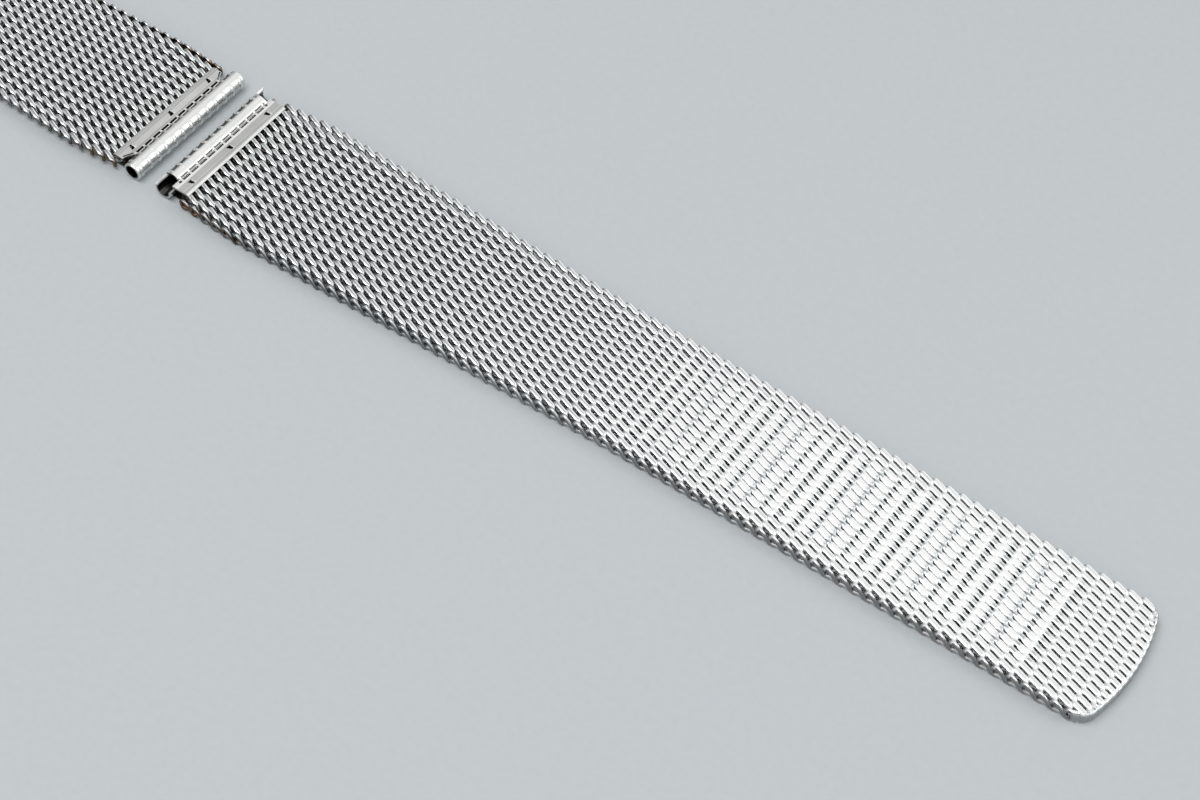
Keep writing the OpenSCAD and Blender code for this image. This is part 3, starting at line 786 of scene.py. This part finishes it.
def top_flange(half):
    """The upper flange with its groove, rib bridges and stakes, as ((points in mm, faces), painted shade
    outside).
    """
    groove = [(g - FLANGE_EDGE_U) / (FLANGE_U - FLANGE_EDGE_U) for g in GROOVE_U]
    low_line, high_line = groove
    panel_lines = np.linspace(high_line + 0.01, 0.94, 34)
    lines = np.concatenate([[0, low_line, (low_line + high_line) / 2, high_line], panel_lines])
    lines = spread(lines, [0.965, 0.985, 1.0])
    bridges = rib_places(half)
    u, y = flange_plan(half, lines, FLANGE_EDGE_U, [*(bridges - BRIDGE_HALF), *(bridges + BRIDGE_HALF)])
    yy = np.broadcast_to(y[None, :], u.shape)
    z = FLANGE_TOP - 0.012 + 0 * u
    # a band beside the groove, a panel that leans back, a level strip and a rounded edge on the mesh side
    panel, strip = PANEL_U
    lean = np.clip((u - panel - 0.06) / (strip - panel - 0.06), 0, 1)
    z = z - 0.03 * smooth_step(u, GROOVE_U[1], panel) - 0.03 * smooth_step(u, panel, panel + 0.04)
    z = z + 0.06 * lean - 0.03 * smooth_step(u, strip, strip + 0.04)
    z = z + 0.02 * smooth_step(u, strip + 0.06, strip + 0.14)
    z = z - 0.11 * smooth_step(u, FLANGE_U - 0.34, FLANGE_U) ** 2
    # the mesh-side edge is nibbled a little by the tool that pressed it on the wires
    z = z - 0.025 * smooth_step(u, FLANGE_U - 0.3, FLANGE_U) * (0.5 + 0.5 * np.cos(2 * math.pi * yy / 0.42))
    # painted shade darkens the panel and the strip beside it, in streaks along the flange
    panel_shade = 0.24 * smooth_step(u, panel, panel + 0.06) * smooth_step(u, FLANGE_U - 0.22, FLANGE_U - 0.32)
    panel_shade = panel_shade + 0.14 * np.exp(-(((u - panel - 0.05) / 0.05) ** 2))
    panel_shade = panel_shade + 0.2 * np.exp(-(((u - strip - 0.04) / 0.05) ** 2))
    panel_shade = panel_shade + 0.1 * smooth_step(u, strip + 0.08, strip + 0.14) * smooth_step(u, 2.84, 2.78)
    mid_u = (u[1:, 1:] + u[:-1, :-1]) / 2
    mid_y = (yy[1:, 1:] + yy[:-1, :-1]) / 2
    mid_line = (lines[1:] + lines[:-1])[:, None] / 2
    bridged = np.min(np.abs(mid_y[..., None] - bridges), axis=-1) < BRIDGE_HALF
    beyond = np.abs(mid_y) > bridges[-1] + 0.5
    keep = (mid_line < low_line) | (mid_line > high_line) | bridged | beyond
    for i in (-1, 0, 1):
        # a stake leaves a slot that widens towards the tube
        off = mid_y - i * STAKE_PITCH
        beside = (off < 0.12) & (off > -0.4 * (2.85 - mid_u) / 1.1)
        keep &= ~((mid_u > STAKE_U[0]) & (mid_u < STAKE_U[1]) & beside)
        # the tab's edges stand up a little round the slot
        ridge = np.exp(-(((yy - i * STAKE_PITCH - 0.19) / 0.09) ** 2))
        rise = smooth_step(np.abs(u - 2.1), 0.42, 0.3) * ridge
        z = z + 0.05 * rise
        # the raised tab edges are left without painted shade
        panel_shade = panel_shade * (1 - rise)
    upper = place_half(half, u, y[None, :], np.minimum(z, FLANGE_TOP - 0.002))
    lower = place_half(half, u, y[None, :], FLANGE_TOP - SHEET)
    return sheet_solid(upper, lower, keep), panel_shade


def low_flange(half):
    """The lower flange, as ((points in mm, faces), how far its outer side is darkened, a little all over)."""
    lines = np.concatenate([np.linspace(0, 0.95, 12), [0.98, 1.0]])
    u, y = flange_plan(half, lines, LOW_FLANGE_EDGE_U)
    round_off = 0.05 * smooth_step(u, FLANGE_U - 0.12, FLANGE_U) ** 2
    outer = place_half(half, u, y[None, :], 0.004 + round_off)
    inner = place_half(half, u, y[None, :], SHEET - round_off)
    keep = np.ones((u.shape[0] - 1, u.shape[1] - 1), bool)
    return sheet_solid(outer, inner, keep), np.full(u.shape, 0.15)


def end_piece(half, material):
    """One rolled end piece in place of its CAD node. The sheet's inner side is painted dark, as painted
    shade.
    """
    sheets = (rolled_tube(half), top_flange(half), low_flange(half))
    verts, faces = joined(sheet for sheet, _ in sheets)
    dirt_and_shade = []
    # the outer sides take their own darkening, and the inner sides are painted fully dark as painted shade
    for _, darkening in sheets:
        dirt_and_shade += darkening.ravel().tolist() + [1.0] * darkening.size
    make_piece(
        f"{half}_rolled_end",
        verts,
        faces,
        material,
        f"{half}_end",
        f"{half}_end_piece",
        {"dirt_and_shade": dirt_and_shade},
        sharp=38,
    )


# How much the clasp's edges are rubbed round, in millimetres
RUBBED_EDGE = 0.07

# The stage, in metres and watts. The camera stands where the photograph's vanishing points and sizes put it.
FLOOR_HALF = 1.5
FILL_POWER = 0.7
CAMERA_PLACE = (0.1165, -0.1257, 0.1956)
CAMERA_RIGHT = (0.8146, 0.5798, 0.0228)
CAMERA_BACK = (0.3339, -0.5009, 0.7991)


def softbox(name, place, aim, size, power):
    """A rectangular lamp at a place, turned towards a point."""
    light = bpy.data.lights.new(name, "AREA")
    light.shape = "RECTANGLE"
    light.size, light.size_y = size
    light.energy = power
    lamp = bpy.data.objects.new(name, light)
    lamp.location = place
    lamp.rotation_mode = "QUATERNION"
    lamp.rotation_quaternion = (Vector(aim) - Vector(place)).to_track_quat("-Z", "Y")
    bpy.context.scene.collection.objects.link(lamp)


class BraceletFinish(bpy.types.PropertyGroup):
    """Tones of the steel"""

    # the wire is mixed between these two tones: the light one towards the tip is a painted sheen, and the
    # shade one beside the watch is painted shade
    wire_light: FloatVectorProperty(
        name="Wire, light",
        description="Tone of the woven wire where it is rubbed bright",
        subtype="COLOR",
        size=3,
        min=0,
        max=1,
        default=linear("#E4E6E6")[:3],
    )
    wire_shade: FloatVectorProperty(
        name="Wire, shade",
        description="Tone of the woven wire beside the watch",
        subtype="COLOR",
        size=3,
        min=0,
        max=1,
        default=linear("#ABB2B5")[:3],
    )
    sheet_light: FloatVectorProperty(
        name="Sheet",
        description="Lighter tone of the pressed sheet",
        subtype="COLOR",
        size=3,
        min=0,
        max=1,
        default=linear("#F0F1EF")[:3],
    )


class BraceletStage(bpy.types.PropertyGroup):
    """The floor, the camera and the main light"""

    floor_colour: FloatVectorProperty(
        name="Floor",
        description="Colour of the floor that the bracelet lies on",
        subtype="COLOR",
        size=3,
        min=0,
        max=1,
        default=linear("#C2C7CA")[:3],
    )
    lens: FloatProperty(
        name="Lens",
        description="Focal length of the camera",
        default=71.97,
        min=20,
        max=200,
        subtype="DISTANCE_CAMERA",
    )
    key_power: FloatProperty(
        name="Key light", description="Power of the overhead softbox", default=1.6, min=0, subtype="POWER"
    )


class BRACELET_OT_mesh(bpy.types.Operator):
    """Weave both halves of the mesh from flattened wire spirals"""

    bl_idname = "bracelet.mesh"
    bl_label = "Woven mesh"

    def execute(self, context):
        finish = context.scene.bracelet_finish
        steel = woven_stainless_wire(finish.wire_light, finish.wire_shade)
        for link in range(1, LONG_LINKS + 1):
            mesh_link("long", link, steel)
        for link in range(1, SHORT_LINKS + 1):
            mesh_link("short", link, steel)
        return {"FINISHED"}


class BRACELET_OT_end_pieces(bpy.types.Operator):
    """Roll the ribbed end pieces with their flanges and stakes"""

    bl_idname = "bracelet.end_pieces"
    bl_label = "Rolled end pieces"

    def execute(self, context):
        sheet = pressed_stainless_sheet(context.scene.bracelet_finish.sheet_light)
        for half in ("long", "short"):
            end_piece(half, sheet)
        return {"FINISHED"}


class BRACELET_OT_clasp(bpy.types.Operator):
    """Finish the clasp and its hinge pin"""

    bl_idname = "bracelet.clasp"
    bl_label = "Clasp"

    def execute(self, context):
        sheet = pressed_stainless_sheet(context.scene.bracelet_finish.sheet_light)
        turned = turned_stainless()
        for name in ("clasp_body", "clasp_lever", "clasp_hinge_pin"):
            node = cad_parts[name]
            node.data.materials.clear()
            node.data.materials.append(turned if name == "clasp_hinge_pin" else sheet)
            bevel = node.modifiers.new("rubbed_edges", "BEVEL")
            bevel.width = RUBBED_EDGE * MM
            bevel.segments = 2
            bevel.limit_method = "ANGLE"
            bevel.angle_limit = math.radians(40)
            bevel.harden_normals = True
        return {"FINISHED"}


class BRACELET_OT_stage(bpy.types.Operator):
    """Set up the floor, the soft lights and the camera"""

    bl_idname = "bracelet.stage"
    bl_label = "Floor, lights and camera"

    def execute(self, context):
        stage = context.scene.bracelet_stage
        floor_mesh = bpy.data.meshes.new("floor")
        corners = [(x * FLOOR_HALF, y * FLOOR_HALF, 0) for x, y in ((-1, -1), (1, -1), (1, 1), (-1, 1))]
        floor_mesh.from_pydata(corners, [], [(0, 1, 2, 3)])
        floor = bpy.data.objects.new("floor", floor_mesh)
        context.scene.collection.objects.link(floor)
        floor_mesh.materials.append(backing_paper(stage.floor_colour))

        context.scene.world = pale_studio()
        softbox("overhead_softbox", (-0.05, -0.12, 0.55), (0, 0, 0), (0.45, 0.3), stage.key_power)
        softbox("side_fill", (0.5, 0.25, 0.35), (0.03, 0, 0), (0.3, 0.3), FILL_POWER)

        camera_data = bpy.data.cameras.new("camera")
        camera_data.sensor_width = 36
        camera_data.lens = stage.lens
        camera_data.clip_start, camera_data.clip_end = 0.01, 10
        camera = bpy.data.objects.new("camera", camera_data)
        context.scene.collection.objects.link(camera)
        right, back = Vector(CAMERA_RIGHT).normalized(), Vector(CAMERA_BACK).normalized()
        up = back.cross(right).normalized()
        turn = Matrix((right, up, back)).transposed().to_4x4()
        camera.matrix_world = Matrix.Translation(CAMERA_PLACE) @ turn
        context.scene.camera = camera
        context.scene.view_settings.view_transform = "Standard"
        return {"FINISHED"}


class BRACELET_PT_panel(bpy.types.Panel):
    """Lists the steps and the values that a user may change"""

    bl_idname = "BRACELET_PT_panel"
    bl_label = "Watch bracelet"
    bl_space_type = "VIEW_3D"
    bl_region_type = "UI"
    bl_category = "Bracelet"

    def draw(self, context):
        for operator in OPERATORS:
            self.layout.operator(operator.bl_idname)
        for group in (context.scene.bracelet_finish, context.scene.bracelet_stage):
            for name in group.__annotations__:
                self.layout.prop(group, name)


GROUPS = (BraceletFinish, BraceletStage)
OPERATORS = (BRACELET_OT_mesh, BRACELET_OT_end_pieces, BRACELET_OT_clasp, BRACELET_OT_stage)


def register():
    """Makes the groups, the steps and the panel known to Blender."""
    for cls in (*GROUPS, *OPERATORS, BRACELET_PT_panel):
        bpy.utils.register_class(cls)
    bpy.types.Scene.bracelet_finish = PointerProperty(type=BraceletFinish)
    bpy.types.Scene.bracelet_stage = PointerProperty(type=BraceletStage)


def unregister():
    """Takes back what register did."""
    del bpy.types.Scene.bracelet_stage
    del bpy.types.Scene.bracelet_finish
    for cls in reversed((*GROUPS, *OPERATORS, BRACELET_PT_panel)):
        bpy.utils.unregister_class(cls)


def main():
    """Builds the bracelet and its stage step by step."""
    register()
    for operator in OPERATORS:
        group, name = operator.bl_idname.split(".")
        getattr(getattr(bpy.ops, group), name)()


if __name__ == "__main__":
    main()
